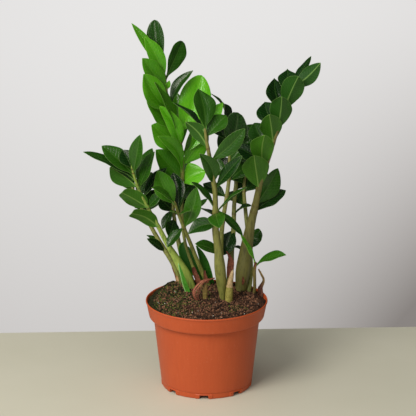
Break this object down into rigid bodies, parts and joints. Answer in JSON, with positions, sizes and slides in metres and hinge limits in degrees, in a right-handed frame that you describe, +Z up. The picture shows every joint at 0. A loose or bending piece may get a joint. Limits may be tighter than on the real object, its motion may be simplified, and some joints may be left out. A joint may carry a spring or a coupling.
{
  "type": "potted plant",
  "caption": "Potted ZZ plant: arching leafy fronds, young shoots and dry sheaths rise from the soil in a tapered plastic grow pot with a flared collar and a notched foot.",
  "frame": {"origin": "middle of the pot's base, on the surface it stands on", "axes": "+Z up through the pot, -Y towards the front, +X to the right as seen from the front"},
  "size_m": [0.3142, 0.2315, 0.4945],
  "materials": {
    "pot": "satin",
    "soil": "matte",
    "frond": "satin",
    "shoot": "satin",
    "sheath": "satin",
    "husk": "matte"
  },
  "bodies": {
    "root": {"pot": "pot", "soil": "soil", "frond_tall_left": "frond", "frond_left": "frond", "frond_left_back": "frond", "frond_back_left": "frond", "frond_mid_left": "frond", "frond_centre": "frond", "frond_back_centre": "frond", "frond_back": "frond", "frond_right": "frond", "frond_back_right": "frond", "frond_low_right": "frond", "shoot_front": "shoot", "shoot_small": "shoot", "sheath_left": "sheath", "sheath_back_left": "sheath", "sheath_back_centre": "sheath", "husk_front": "husk", "husk_right": "husk"}
  },
  "joints": []
}
